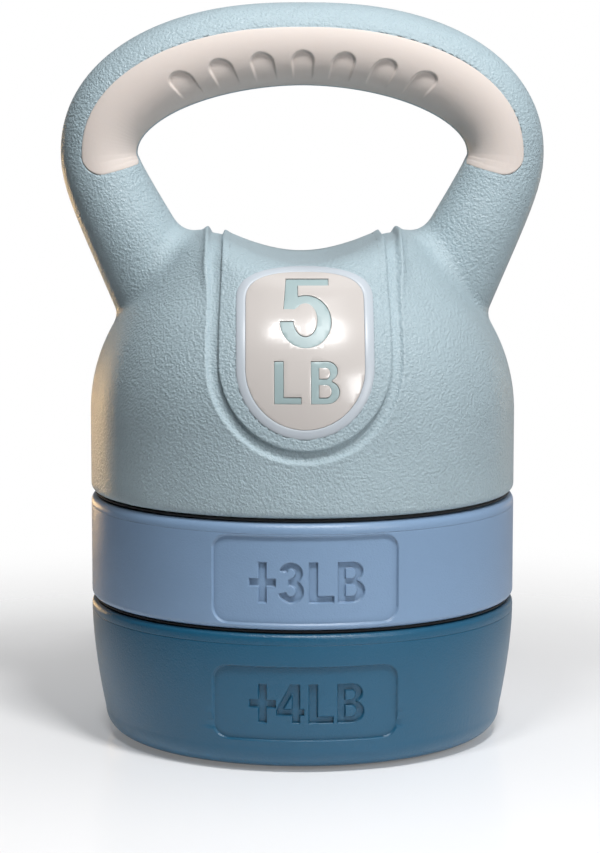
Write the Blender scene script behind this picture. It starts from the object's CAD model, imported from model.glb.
import math

import bmesh
import bpy
import numpy as np
from bpy.props import FloatProperty, IntProperty, PointerProperty, StringProperty
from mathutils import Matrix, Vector


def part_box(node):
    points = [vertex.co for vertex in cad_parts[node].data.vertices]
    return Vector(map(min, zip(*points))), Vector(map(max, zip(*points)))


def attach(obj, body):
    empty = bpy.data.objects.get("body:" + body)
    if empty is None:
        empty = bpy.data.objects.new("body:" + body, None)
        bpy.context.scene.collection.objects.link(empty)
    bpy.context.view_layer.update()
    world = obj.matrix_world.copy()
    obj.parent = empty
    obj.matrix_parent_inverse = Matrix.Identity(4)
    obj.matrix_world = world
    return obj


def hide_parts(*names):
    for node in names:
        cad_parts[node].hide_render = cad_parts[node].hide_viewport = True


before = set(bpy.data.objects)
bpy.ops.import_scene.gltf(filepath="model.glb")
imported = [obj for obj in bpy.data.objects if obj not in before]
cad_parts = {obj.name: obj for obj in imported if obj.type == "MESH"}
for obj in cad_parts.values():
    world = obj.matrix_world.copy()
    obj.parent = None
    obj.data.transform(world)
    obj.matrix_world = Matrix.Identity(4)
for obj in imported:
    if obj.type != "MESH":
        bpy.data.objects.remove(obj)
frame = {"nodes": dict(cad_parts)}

bl_info = {
    "name": "Stacking Kettlebell",
    "version": (1, 0, 0),
    "blender": (4, 5, 0),
    "location": "3D View > Sidebar > Kettlebell",
    "description": "Moulded shells, grips, badges and stage of an adjustable kettlebell",
    "category": "Object",
}

MM = 0.001
TAU = 2.0 * math.pi
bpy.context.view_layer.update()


def low(node):
    """Lowest corner of a node's box."""
    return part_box(node)[0]


def high(node):
    """Highest corner of a node's box."""
    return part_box(node)[1]


# Levels and radii that the frame fixes, in metres.
GAP = 0.0003
BODY_RADIUS = high("middle_shell").x
BELL_BOTTOM = low("bell_shell").z
MIDDLE_BOTTOM = low("middle_shell").z
MIDDLE_TOP = low("upper_gasket").z - GAP
BASE_BOTTOM = low("base_shell").z
BASE_TOP = low("lower_gasket").z - GAP
PLATE_RADIUS = high("bell_bottom_plate").x


def length(name, description, default):
    """Length property whose default is given in millimetres."""
    return FloatProperty(name=name, description=description, default=default * MM,
                         unit="LENGTH", precision=5)


def plain_number(name, description, default):
    """Property without a unit, such as a share or a power."""
    return FloatProperty(name=name, description=description, default=default)


def degrees(name, description, default):
    """Angle property whose default is given in degrees."""
    return FloatProperty(name=name, description=description, default=math.radians(default),
                         subtype="ANGLE")


def colour(name, description, default):
    """Colour property as an sRGB hex value."""
    return StringProperty(name=name, description=description, default=default)


class BellSizes(bpy.types.PropertyGroup):
    """Sizes of the bell and of the loop handle that grows out of it."""

    shoulder_z: length("Shoulder", "Height where the wall starts to turn in", 120.0)
    dome_radius: length("Dome radius", "Radius of the arc above the shoulder", 63.9)
    dome_turn: degrees("Dome turn", "Angle at which the arc ends and a cone goes on", 40.0)
    saddle_z: length("Saddle", "Height of the middle of the saddle", 176.6)
    saddle_rise: length("Saddle rise", "Rise of the saddle's wave towards the legs", 9.7)
    saddle_reach: length("Saddle reach", "Half width of the saddle's wave", 62.0)
    saddle_limit: length("Saddle limit", "Height at which the saddle levels off", 186.2)
    saddle_edge: length("Saddle edge", "Softness of the saddle's front and rear edges", 12.0)
    side_edge: length("Side edge", "The same beside the legs", 6.5)
    root_fillet: length("Root fillet", "Softness where the legs' outside meets the dome", 2.8)
    inner_fillet: length("Inner fillet", "The same at the legs' inside", 8.0)
    arch_z: length("Arch height", "Height of the arch's spring line", 214.0)
    outer_half_width: length("Outer half width", "Half width of the loop outside", 88.5)
    outer_rise: length("Outer rise", "Rise of the loop's outside above the spring line", 55.1)
    outer_power: plain_number("Outer power", "Power of the outer arch's curve", 2.2)
    inner_half_width: length("Inner half width", "Half width of the loop inside", 60.5)
    inner_rise: length("Inner rise", "Rise of the loop's inside above the spring line", 25.1)
    inner_power: plain_number("Inner power", "Power of the inner arch's curve", 2.03)
    outer_slope: plain_number("Outer slope", "How fast a leg's outside draws in", 0.44)
    inner_slope: plain_number("Inner slope", "How fast a leg's inside draws in", 0.66)
    outer_ease: length("Outer ease", "Softness of the outer bend under the arch", 6.0)
    inner_ease: length("Inner ease", "Softness of the inner bend under the arch", 3.0)
    leg_drop: length("Leg drop", "How far a leg reaches below the spring line", 66.0)
    inner_share: plain_number("Inner share", "Share of the drop that the inside takes", 0.72)
    leg_depth: length("Leg depth", "Largest front-to-back radius of a leg", 16.0)
    voxel: length("Mesh size", "Size of the bell mesh's faces", 1.25)
    rim_round: length("Rim rounding", "Radius of the rounded rim", 2.5)


class BandSizes(bpy.types.PropertyGroup):
    """Sizes of the channel that runs down the front, round and up over the saddle."""

    half_width: length("Half width", "Half width of the tongue inside the channel", 30.1)
    top_half_width: length("Top half width", "The same on the saddle", 29.0)
    turn_z: length("Turn height", "Height where the channel starts its round bottom", 144.8)
    top_widening: plain_number("Top widening", "How much wider the channel is on the saddle", 1.28)
    depth: length("Depth", "Depth of the channel", 1.6)
    lip: length("Lip", "Height of the lip where the channel crosses the saddle", 1.1)


class BadgeSizes(bpy.types.PropertyGroup):
    """Sizes of the two badges, outlined in the XZ plane."""

    half_width: length("Half width", "Half width of the frame", 24.1)
    bottom: length("Bottom", "Height of the frame's lowest point", 118.6)
    top: length("Top", "Height of the frame's highest point", 176.0)
    shoulder: length("Shoulder", "Height where the frame's top starts to bend", 164.6)
    border: length("Border", "Width of the frame at its sides", 3.5)
    top_border: length("Top border", "Height of the frame above the plate", 1.75)
    power: plain_number("Top power", "Power of the top's curve", 2.7)
    inlay_step: length("Inlay step", "How far the inlays lie under the plate's face", 0.28)


class GripSizes(bpy.types.PropertyGroup):
    """Sizes of the two soft pads on the handle."""

    upper_angle: degrees("Upper edge", "Angle of the pad's outer edge from the facing side", 24.0)
    lower_angle: degrees("Lower edge", "Angle of the pad's edge towards the hole", -78.0)
    leg_drop: length("Leg drop", "How far the pad reaches below the spring line", 8.6)
    end_slant: length("End slant", "How much higher the pad ends on its inner side", 4.5)
    outer_corner: length("Outer corner", "Radius of the pad's outer end corner", 9.0)
    inner_corner: length("Inner corner", "Radius of the pad's inner end corner", 3.0)
    mark_count: IntProperty(name="Finger marks", description="How many marks the front has",
                            default=7)
    mark_pitch: length("Mark pitch", "Distance between two marks", 16.3)
    mark_radius: length("Mark radius", "Radius of a mark's round top", 4.85)
    mark_depth: length("Mark depth", "Depth of a mark under its round top", 1.15)


class WeightSizes(bpy.types.PropertyGroup):
    """Sizes of the two weights under the bell."""

    wall: length("Wall", "Thickness of the shells", 3.2)
    rim_round: length("Rim rounding", "Radius of the rounded rims", 2.0)
    lid_round: length("Lid rounding", "Radius of the middle lid's rim", 3.0)
    lid_rim: length("Lid rim", "Height of a lid's rim", 3.7)
    base_taper: length("Base taper", "How much the base draws in at the floor", 6.8)
    taper_power: plain_number("Taper power", "Power of the base's curve", 1.65)
    foot_corner: length("Foot corner", "Radius of the base's lower edge", 8.5)
    label_half_width: length("Label half width", "Half width of a label panel", 32.5)
    middle_label_low: length("Middle label low", "Lower edge of the middle label", 54.0)
    middle_label_high: length("Middle label high", "Upper edge of the middle label", 85.1)
    middle_figures: length("Middle figures", "Foot of the middle label's figures", 61.6)
    base_label_low: length("Base label low", "Lower edge of the base label", 12.0)
    base_label_high: length("Base label high", "Upper edge of the base label", 39.1)
    base_figures: length("Base figures", "Foot of the base label's figures", 18.4)
    figure_height: length("Figure height", "Height of the figures in the labels", 14.1)
    label_corner: length("Label corner", "Corner radius of a label panel", 5.2)
    label_depth: length("Label depth", "Depth of a label panel", 0.95)
    mark_depth: length("Mark depth", "Depth of the figures in a label panel", 1.05)
    hexagon: length("Hexagon", "Corner radius of the locating hexagons", 30.0)
    hexagon_height: length("Hexagon height", "Height of the locating hexagons", 4.0)


class ClampSizes(bpy.types.PropertyGroup):
    """Sizes of the moulded star knob."""

    edge: length("Edge rounding", "Radius of the knob's rounded edges", 1.6)
    lobe_count: IntProperty(name="Lobes", description="How many lobes the knob has", default=6)
    lobe_depth: length("Lobe depth", "Depth of the hollows between the lobes", 2.2)
    dish: length("Dish radius", "Radius of the dished face", 16.5)
    dish_depth: length("Dish depth", "Depth of the dished face", 1.2)
    hexagon: length("Hexagon", "Corner radius of the recess for the screw's head", 10.8)
    recess_top: length("Recess top", "Height where that recess ends", 10.3)
    bore: length("Bore", "Radius of the hole for the screw", 6.3)


class StageSizes(bpy.types.PropertyGroup):
    """Camera and floor."""

    lens: plain_number("Lens", "Focal length in millimetres", 116.2)
    distance: length("Distance", "Distance of the camera from the object's axis", 1014.0)
    side: length("Side", "Sideways shift of the camera", -0.9)
    height: length("Height", "Height of the camera", 243.1)
    pitch: degrees("Pitch", "How far the camera looks down", 7.29)
    turn: degrees("Turn", "How far the camera stands round the object", -0.75)
    floor_edge: length("Floor edge", "Radius where the floor starts to fade out", 95.0)
    floor_end: length("Floor end", "Radius where the floor has faded out", 420.0)
    floor_glow: plain_number("Floor glow", "Light that the white floor sends back by itself", 0.16)


class FinishColours(bpy.types.PropertyGroup):
    """Colours of the finishes, as sRGB hex values."""

    teal: colour("Teal", "Moulded shell of the bell", "#AABDC5")
    inlay: colour("Inlay", "Figures in the badge", "#9DB1B3")
    frame: colour("Frame", "Badge frame", "#BBC3CB")
    plate: colour("Plate", "Badge plate", "#CAC4C0")
    grip: colour("Grip", "Soft pads", "#DBD0C9")
    periwinkle: colour("Periwinkle", "Middle weight", "#84A0C0")
    deep_blue: colour("Deep blue", "Base weight", "#1F5B7A")
    rubber: colour("Rubber", "Gaskets and foot ring", "#16171A")
    nylon: colour("Nylon", "Knob and bottom plate", "#24262A")
    zinc: colour("Zinc", "Plated screws", "#C4C6C9")
    steel: colour("Steel", "Bare steel", "#A9A9A8")
    cement: colour("Cement", "Cast fill", "#8C8983")


GROUPS = {
    "kettlebell_bell": BellSizes,
    "kettlebell_band": BandSizes,
    "kettlebell_badge": BadgeSizes,
    "kettlebell_grip": GripSizes,
    "kettlebell_weight": WeightSizes,
    "kettlebell_clamp": ClampSizes,
    "kettlebell_finish": FinishColours,
    "kettlebell_stage": StageSizes,
}


# ---------------------------------------------------------------- curves and outlines

def signed_power(value, power):
    """Power that keeps its sign, for superellipses."""
    return np.sign(value) * np.abs(value) ** power


def arc(centre, radii, start, end, count):
    """Points of an elliptic arc, angles in degrees."""
    angles = np.radians(np.linspace(start, end, count + 1))
    return [(centre[0] + radii[0] * math.cos(angle), centre[1] + radii[1] * math.sin(angle))
            for angle in angles]


def mirrored(points):
    """The same points on the other side of the axis, in reverse order."""
    return [(-x, z) for x, z in reversed(points)]


def smooth_min(first, second, reach):
    """Smaller of two fields, rounded where they are within reach of each other."""
    share = np.clip(0.5 + 0.5 * (second - first) / reach, 0.0, 1.0)
    return second + (first - second) * share - reach * share * (1.0 - share)


def smooth_step(value, start, end):
    """Ease from 0 at start to 1 at end."""
    share = np.clip((value - start) / (end - start), 0.0, 1.0)
    return share * share * (3.0 - 2.0 * share)


def resample(points, spacing):
    """Evenly spaced points along a closed polyline."""
    points = np.asarray(points, dtype=float)
    points = np.vstack([points, points[:1]])
    steps = np.linalg.norm(np.diff(points, axis=0), axis=1)
    along = np.concatenate([[0.0], np.cumsum(steps)])
    count = max(int(along[-1] / spacing), 8)
    wanted = np.linspace(0.0, along[-1], count + 1)[:-1]
    return np.stack([np.interp(wanted, along, points[:, axis]) for axis in range(3)], axis=1)


def outline_distance(places, outlines):
    """Signed distance of 2D places to closed outlines, negative inside (even-odd)."""
    nearest = np.full(len(places), 1.0)
    inside = np.zeros(len(places), dtype=bool)
    for outline in outlines:
        starts = np.asarray(outline)
        ends = np.roll(starts, -1, axis=0)
        for start, end in zip(starts, ends):
            edge = end - start
            away = places - start
            share = np.clip(away @ edge / max(edge @ edge, 1e-18), 0.0, 1.0)
            gap = np.linalg.norm(away - share[:, None] * edge, axis=1)
            nearest = np.minimum(nearest, gap)
            crosses = (start[1] > places[:, 1]) != (end[1] > places[:, 1])
            if start[1] != end[1]:
                reach = start[0] + (places[:, 1] - start[1]) * edge[0] / edge[1]
                inside ^= crosses & (places[:, 0] < reach)
    return np.where(inside, -nearest, nearest)


# ---------------------------------------------------------------- figures, 1 unit high

def figure_plus():
    """Plus sign."""
    arm, half, bar = 0.33, 0.100, 0.5
    upper = [(half, 1.0), (half, bar + half), (arm, bar + half)]
    right = upper + [(x, 2.0 * bar - z) for x, z in reversed(upper)]
    return [right + mirrored(right)]


def figure_three():
    """Numeral 3: an upper and a lower bow that meet in the middle."""
    outer = (arc((0.0, 0.735), (0.285, 0.265), 165.0, -52.0, 16)
             + arc((0.0, 0.290), (0.315, 0.290), 58.0, -168.0, 18))
    inner = (arc((0.0, 0.290), (0.125, 0.130), -168.0, 78.0, 12)
             + [(-0.06, 0.43), (-0.06, 0.575)]
             + arc((0.0, 0.735), (0.105, 0.115), -75.0, 165.0, 12))
    return [outer + inner]


def figure_four():
    """Numeral 4 with its triangular window."""
    outer = [(-0.02, 1.0), (0.22, 1.0), (0.22, 0.37), (0.33, 0.37), (0.33, 0.21), (0.22, 0.21),
             (0.22, 0.0), (0.03, 0.0), (0.03, 0.21), (-0.36, 0.21), (-0.36, 0.35)]
    window = [(0.03, 0.37), (0.03, 0.76), (-0.19, 0.37)]
    return [outer, window]


def figure_l():
    """Letter L."""
    return [[(-0.31, 0.0), (0.31, 0.0), (0.31, 0.165), (-0.09, 0.165), (-0.09, 1.0), (-0.31, 1.0)]]


def figure_b():
    """Letter B with its two windows."""
    outer = ([(-0.33, 0.0)] + arc((0.05, 0.275), (0.29, 0.275), -90.0, 68.0, 12)
             + arc((0.04, 0.765), (0.255, 0.235), -62.0, 90.0, 12) + [(-0.33, 1.0)])
    lower = [(-0.14, 0.155)] + arc((0.03, 0.300), (0.115, 0.145), -90.0, 90.0, 10) + [(-0.14, 0.445)]
    upper = [(-0.14, 0.595)] + arc((0.02, 0.720), (0.095, 0.125), -90.0, 90.0, 10) + [(-0.14, 0.845)]
    return [outer, lower, upper]


def figure_five():
    """Numeral 5 in the badge's own proportions: bar, stem and a round bowl."""
    bowl_centre, bowl = (0.010, 0.3822), (0.398, 0.3844)
    bay_centre, bay = (0.005, 0.4089), (0.184, 0.240)
    outer = ([(-0.293, 1.0), (0.369, 1.0), (0.369, 0.902), (-0.107, 0.902), (-0.107, 0.753)]
             + arc(bowl_centre, bowl, 105.0, -181.0, 40))
    inner = arc(bay_centre, bay, -176.0, 128.0, 30)
    return [outer + inner + [(-0.160, 0.562), (-0.333, 0.562)]]


def placed(figure, centre, bottom, height, width_scale=1.0):
    """Outlines of a figure at a place in the XZ plane."""
    return [[(centre + x * height * width_scale, bottom + z * height) for x, z in outline]
            for outline in figure]


# ---------------------------------------------------------------- skin of bell and handle

def leg_inset(drop, slope, ease):
    """How far a leg's outline has drawn in below the spring line."""
    return math.hypot(slope * drop, ease) - ease


ARCH_STEPS = 40
LEG_STEPS = 20

# Half widths between which the saddle's edge and the legs' fillets change their softness.
SADDLE_BLEND = (0.018, 0.034)
FILLET_BLEND = (0.050, 0.064)
SLOPE_STEP = 0.00005


def loop_stations(bell):
    """Outer and inner outline points (x, z) from the top of the loop down one leg."""
    pairs = []
    for index in range(ARCH_STEPS + 1):
        angle = math.pi / 2.0 * (1.0 - index / ARCH_STEPS)
        across, up = math.cos(angle), math.sin(angle)
        outer = (bell.outer_half_width * across ** (2.0 / bell.outer_power),
                 bell.arch_z + bell.outer_rise * up ** (2.0 / bell.outer_power))
        inner = (bell.inner_half_width * across ** (2.0 / bell.inner_power),
                 bell.arch_z + bell.inner_rise * up ** (2.0 / bell.inner_power))
        pairs.append((outer, inner))
    for index in range(1, LEG_STEPS + 1):
        drop = bell.leg_drop * index / LEG_STEPS
        inner_drop = drop * bell.inner_share
        outer = (bell.outer_half_width - leg_inset(drop, bell.outer_slope, bell.outer_ease),
                 bell.arch_z - drop)
        inner = (bell.inner_half_width - leg_inset(inner_drop, bell.inner_slope, bell.inner_ease),
                 bell.arch_z - inner_drop)
        pairs.append((outer, inner))
    return np.array(pairs)


class Skin:
    """Outer surface of bell and handle as one smooth field, negative inside."""

    def __init__(self, bell):
        self.bell = bell
        pairs = loop_stations(bell)
        self.middle = pairs.mean(axis=1)
        self.outward = pairs[:, 0] - pairs[:, 1]
        self.half = np.linalg.norm(self.outward, axis=1) / 2.0
        self.outward /= 2.0 * self.half[:, None]
        steps = np.linalg.norm(np.diff(self.middle, axis=0), axis=1)
        self.along = np.concatenate([[0.0], np.cumsum(steps)])

    def loop_places(self, points):
        """Place along the loop, in-plane offset from its middle line and half thickness."""
        if not len(points):
            return np.zeros(0), np.zeros(0), np.zeros(0)
        flat = np.stack([np.abs(points[:, 0]), points[:, 2]], axis=1)
        starts = self.middle[:-1]
        edges = np.diff(self.middle, axis=0)
        squares = np.einsum("ij,ij->i", edges, edges)
        along, offset, half = [], [], []
        for begin in range(0, len(flat), 20000):
            away = flat[begin:begin + 20000, None, :] - starts[None]
            share = np.clip(np.einsum("nmj,mj->nm", away, edges) / squares, 0.0, 1.0)
            away -= share[:, :, None] * edges
            gap = np.einsum("nmj,nmj->nm", away, away)
            best = gap.argmin(axis=1)
            rows = np.arange(len(best))
            part = share[rows, best]
            outward = (self.outward[best] * (1.0 - part[:, None])
                       + self.outward[best + 1] * part[:, None])
            side = np.sign(np.einsum("nj,nj->n", away[rows, best], outward))
            offset.append(np.sqrt(gap[rows, best]) * side)
            along.append(self.along[best] * (1.0 - part) + self.along[best + 1] * part)
            half.append(self.half[best] * (1.0 - part) + self.half[best + 1] * part)
        return np.concatenate(along), np.concatenate(offset), np.concatenate(half)

    def dome(self, points):
        """Distance to the bell's turned wall: cylinder, arc and cone."""
        bell = self.bell
        reach = np.hypot(points[:, 0], points[:, 1]) - (BODY_RADIUS - bell.dome_radius)
        rise = points[:, 2] - bell.shoulder_z
        angle = np.clip(np.arctan2(rise, np.maximum(reach, 1e-6)), 0.0, bell.dome_turn)
        return reach * np.cos(angle) + rise * np.sin(angle) - bell.dome_radius

    def saddle(self, points):
        """Distance above the saddle, a wave across the bell's top."""
        bell = self.bell
        turn = np.clip(points[:, 0] / bell.saddle_reach, -1.0, 1.0) * math.pi
        wave = bell.saddle_z + bell.saddle_rise * (1.0 - np.cos(turn))
        slope = bell.saddle_rise * math.pi / bell.saddle_reach * np.sin(turn)
        level = smooth_min(wave, np.full_like(wave, bell.saddle_limit), 0.002)
        return (points[:, 2] - level) / np.sqrt(1.0 + slope ** 2)

    def field(self, points):
        """Signed distance, near enough, to the whole skin."""
        bell = self.bell
        beside = smooth_step(np.abs(points[:, 0]), *SADDLE_BLEND)
        edge = bell.saddle_edge + (bell.side_edge - bell.saddle_edge) * beside
        skin = -smooth_min(-self.dome(points), -self.saddle(points), edge)
        near = points[:, 2] > bell.arch_z - bell.leg_drop - 2.0 * bell.leg_depth
        offset, half = self.loop_places(points[near])[1:]
        depth = np.minimum(half, bell.leg_depth)
        loop = (np.hypot(offset / half, points[near, 1] / depth) - 1.0) * depth
        outside = smooth_step(np.abs(points[near, 0]), *FILLET_BLEND)
        fillet = bell.inner_fillet + (bell.root_fillet - bell.inner_fillet) * outside
        skin[near] = smooth_min(skin[near], loop, fillet)
        return skin

    def slope(self, points):
        """Gradient of the field."""
        columns = []
        for axis in range(3):
            shift = np.zeros(3)
            shift[axis] = SLOPE_STEP
            rise = self.field(points + shift) - self.field(points - shift)
            columns.append(rise / (2.0 * SLOPE_STEP))
        return np.stack(columns, axis=1)

    def normal(self, points):
        """Outward direction at points of the skin."""
        slope = self.slope(points)
        return slope / np.linalg.norm(slope, axis=1)[:, None]

    def settle(self, points, rounds=3):
        """Move points onto the skin along its gradient."""
        for _ in range(rounds):
            slope = self.slope(points)
            square = np.einsum("ij,ij->i", slope, slope)
            points = points - (self.field(points) / square)[:, None] * slope
        return points

    def cast(self, origins, directions, reach=0.11, steps=44):
        """First places where rays from inside leave the skin."""
        inside = np.zeros(len(origins))
        outside = np.full(len(origins), reach)
        found = np.zeros(len(origins), dtype=bool)
        for index in range(1, steps + 1):
            distance = reach * index / steps
            value = self.field(origins + directions * distance)
            leaving = (value > 0.0) & ~found
            outside[leaving] = distance
            inside[~found & ~leaving] = distance
            found |= leaving
        for _ in range(16):
            middle = (inside + outside) / 2.0
            value = self.field(origins + directions * middle[:, None])
            outside = np.where(value > 0.0, middle, outside)
            inside = np.where(value > 0.0, inside, middle)
        return origins + directions * ((inside + outside) / 2.0)[:, None]

    def face_points(self, flat, side=-1.0):
        """Points of the front (side -1) or the rear of the bell at (x, z) places."""
        flat = np.asarray(flat, dtype=float)
        origins = np.stack([flat[:, 0], np.zeros(len(flat)), flat[:, 1]], axis=1)
        return self.cast(origins, np.tile([0.0, side, 0.0], (len(flat), 1)))

    def loop_points(self, along, angle, side=-1.0):
        """Points on the handle, by place along it and angle from the facing side."""
        place = np.abs(along)
        middle, outward = (
            np.stack([np.interp(place, self.along, row[:, axis]) for axis in (0, 1)], 1)
            for row in (self.middle, self.outward))
        outward /= np.linalg.norm(outward, axis=1)[:, None]
        half = np.interp(place, self.along, self.half)
        depth = np.minimum(half, self.bell.leg_depth)
        across = middle + (half * np.sin(angle))[:, None] * outward
        forward = side * depth * np.cos(angle)
        return np.stack([across[:, 0] * np.sign(along + 1e-12), forward, across[:, 1]], axis=1)


# ---------------------------------------------------------------- mesh helpers

def new_piece(name, vertices, faces):
    """Add an object with a mesh of the given vertices and faces, normals facing out."""
    mesh = bpy.data.meshes.new(name)
    mesh.from_pydata([tuple(point) for point in vertices], [], faces)
    form = bmesh.new()
    form.from_mesh(mesh)
    bmesh.ops.remove_doubles(form, verts=form.verts, dist=1e-7)
    bmesh.ops.recalc_face_normals(form, faces=form.faces)
    form.to_mesh(mesh)
    form.free()
    piece = bpy.data.objects.new(name, mesh)
    bpy.context.scene.collection.objects.link(piece)
    return piece


def grid_faces(rows, columns, wrap_rows, wrap_columns):
    """Quads of a grid of points, row by row."""
    row = np.arange(rows if wrap_rows else rows - 1)
    column = np.arange(columns if wrap_columns else columns - 1)
    row, column = np.meshgrid(row, column, indexing="ij")
    after_row = (row + 1) % rows
    after_column = (column + 1) % columns
    corners = [row * columns + column, row * columns + after_column,
               after_row * columns + after_column, after_row * columns + column]
    return np.stack([corner.ravel() for corner in corners], axis=1).tolist()


def grid_piece(name, grid, wrap_rows=False, wrap_columns=False, caps=False):
    """Piece from a grid of points; caps close the first and the last row."""
    rows, columns = grid.shape[:2]
    faces = grid_faces(rows, columns, wrap_rows, wrap_columns)
    if caps:
        faces.append(list(range(columns)))
        faces.append(list(range((rows - 1) * columns, rows * columns)))
    return new_piece(name, grid.reshape(-1, 3), faces)


def turned(name, profile, angles, dent=None):
    """Ring turned about Z from a closed (radius, z) profile, with dents in its wall."""
    profile = np.asarray(profile, dtype=float)
    radius = np.repeat(profile[:, :1], len(angles), axis=1)
    height = np.repeat(profile[:, 1:2], len(angles), axis=1)
    turn = np.repeat(np.asarray(angles)[None, :], len(profile), axis=0)
    if dent is not None:
        radius = radius - dent(turn, radius, height)
    grid = np.stack([radius * np.sin(turn), -radius * np.cos(turn), height], axis=2)
    return grid_piece(name, grid, wrap_rows=True, wrap_columns=True)


def even_turn(count):
    """Angles all the way round, in equal steps."""
    return np.linspace(0.0, TAU, count, endpoint=False)


def smooth_faces(piece, limit=35.0):
    """Shade a piece smooth, apart from edges sharper than a limit in degrees."""
    mesh = piece.data
    mesh.shade_smooth()
    form = bmesh.new()
    form.from_mesh(mesh)
    for edge in form.edges:
        edge.smooth = len(edge.link_faces) == 2 and edge.calc_face_angle() < math.radians(limit)
    form.to_mesh(mesh)
    form.free()
    return piece


def baked(piece):
    """Apply a piece's modifiers."""
    graph = bpy.context.evaluated_depsgraph_get()
    mesh = bpy.data.meshes.new_from_object(piece.evaluated_get(graph))
    piece.modifiers.clear()
    piece.data = mesh
    return piece


def carved(piece, cutter, operation="DIFFERENCE"):
    """Cut a shape out of a piece, or join it on, and remove the cutter."""
    tool = piece.modifiers.new("carve", "BOOLEAN")
    tool.operation = operation
    tool.solver = "EXACT"
    tool.object = cutter
    bpy.context.view_layer.update()
    baked(piece)
    bpy.data.objects.remove(cutter, do_unlink=True)
    return piece


def hexagon(name, radius, bottom, top, bevel=0.0):
    """Upright hexagonal prism."""
    form = bmesh.new()
    bmesh.ops.create_cone(form, cap_ends=True, segments=6, radius1=radius, radius2=radius,
                          depth=top - bottom)
    bmesh.ops.translate(form, verts=form.verts, vec=(0.0, 0.0, (top + bottom) / 2.0))
    if bevel:
        bmesh.ops.bevel(form, geom=form.edges[:], offset=bevel, segments=2, affect="EDGES",
                        profile=0.5)
    mesh = bpy.data.meshes.new(name)
    form.to_mesh(mesh)
    form.free()
    piece = bpy.data.objects.new(name, mesh)
    bpy.context.scene.collection.objects.link(piece)
    return piece


def finish_piece(piece, material, body, slot, *nodes):
    """Give a piece its finish, its body and the CAD nodes that it stands for."""
    piece.data.materials.clear()
    piece.data.materials.append(material)
    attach(piece, body)
    if nodes:
        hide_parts(*nodes)
    return piece


def strip(name, skin, inner, outer, profile):
    """Closed ring that lies along a loop on the skin.

    The profile is a list of (share, shift, height): a share of the way from the inner
    to the outer loop, a shift outwards along the skin and a height above it.
    """
    middle = (inner + outer) / 2.0
    ahead = np.roll(middle, -1, axis=0) - np.roll(middle, 1, axis=0)
    ahead /= np.linalg.norm(ahead, axis=1)[:, None]
    normal = skin.normal(skin.settle(middle, 1))
    across = np.cross(ahead, normal)
    across /= np.linalg.norm(across, axis=1)[:, None]
    centre = middle.mean(axis=0)
    if np.einsum("ij,ij->i", across, middle - centre).mean() < 0.0:
        across = -across
    rows = []
    for share, shift, height in profile:
        places = inner + (outer - inner) * share + across * np.reshape(shift, (-1, 1))
        places = skin.settle(places, 3)
        rows.append(places + skin.normal(places) * np.reshape(height, (-1, 1)))
    return smooth_faces(grid_piece(name, np.stack(rows), wrap_rows=True, wrap_columns=True), 50.0)


def flat_pattern(name, skin, outlines, side, top, thickness, bevel, shrink=0.0, cell=0.002):
    """Plate of a flat pattern's shape that follows the front or the rear of the bell."""
    curve = bpy.data.curves.new(name, "CURVE")
    curve.dimensions = "2D"
    curve.fill_mode = "BOTH"
    curve.extrude = thickness / 2.0 - bevel
    curve.bevel_depth = bevel
    curve.bevel_resolution = 1
    curve.offset = -bevel - shrink
    for outline in outlines:
        spline = curve.splines.new("POLY")
        spline.points.add(len(outline) - 1)
        for point, (x, z) in zip(spline.points, outline):
            point.co = (x, z, 0.0, 1.0)
        spline.use_cyclic_u = True
    holder = bpy.data.objects.new(name, curve)
    bpy.context.scene.collection.objects.link(holder)
    bpy.context.view_layer.update()
    graph = bpy.context.evaluated_depsgraph_get()
    mesh = bpy.data.meshes.new_from_object(holder.evaluated_get(graph))
    bpy.data.objects.remove(holder, do_unlink=True)
    form = bmesh.new()
    form.from_mesh(mesh)
    bmesh.ops.remove_doubles(form, verts=form.verts, dist=1e-6)
    flat = np.array([point for outline in outlines for point in outline])
    for axis in (0, 1):
        normal = (1.0, 0.0, 0.0) if axis == 0 else (0.0, 1.0, 0.0)
        for place in np.arange(flat[:, axis].min() + cell / 2.0, flat[:, axis].max(), cell):
            point = (place, 0.0, 0.0) if axis == 0 else (0.0, place, 0.0)
            bmesh.ops.bisect_plane(form, geom=form.verts[:] + form.edges[:] + form.faces[:],
                                   plane_co=point, plane_no=normal, dist=1e-7)
    places = np.array([vertex.co for vertex in form.verts])
    bottom = skin.face_points(places[:, :2], side)
    lift = places[:, 2] + top - thickness / 2.0
    bottom += skin.normal(bottom) * lift[:, None]
    for vertex, place in zip(form.verts, bottom):
        vertex.co = place
    bmesh.ops.recalc_face_normals(form, faces=form.faces)
    form.to_mesh(mesh)
    form.free()
    piece = bpy.data.objects.new(name, mesh)
    bpy.context.scene.collection.objects.link(piece)
    return smooth_faces(piece)


# ---------------------------------------------------------------- loops on the skin

def band_width(band, z):
    """Half width of the tongue at a height."""
    return band.half_width + (band.top_half_width - band.half_width) * smooth_step(z, 0.150, 0.184)


def band_loop(skin, band):
    """The tongue's edge: down the front, round its foot, up and over to the rear."""
    width = band.half_width
    turn_z = band.turn_z
    foot = [(width * math.cos(angle), turn_z + width * math.sin(angle))
            for angle in np.radians(np.linspace(-90.0, 0.0, 31))]
    foot = skin.face_points(foot)
    tilt = np.radians(np.linspace(0.0, 90.0, 61))[1:]
    directions = np.stack([np.zeros(60), -np.cos(tilt), np.sin(tilt)], axis=1)
    origins = np.tile([width, 0.0, turn_z], (60, 1))
    rise = skin.cast(origins, directions)
    origins[:, 0] = band_width(band, rise[:, 2])
    rise = skin.cast(origins, directions)
    quarter = np.vstack([foot, rise])
    rear = quarter[::-1][1:] * [1.0, -1.0, 1.0]
    right = np.vstack([quarter, rear])
    left = right[::-1][1:-1] * [-1.0, 1.0, 1.0]
    return resample(np.vstack([right, left]), 0.0013)


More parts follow.
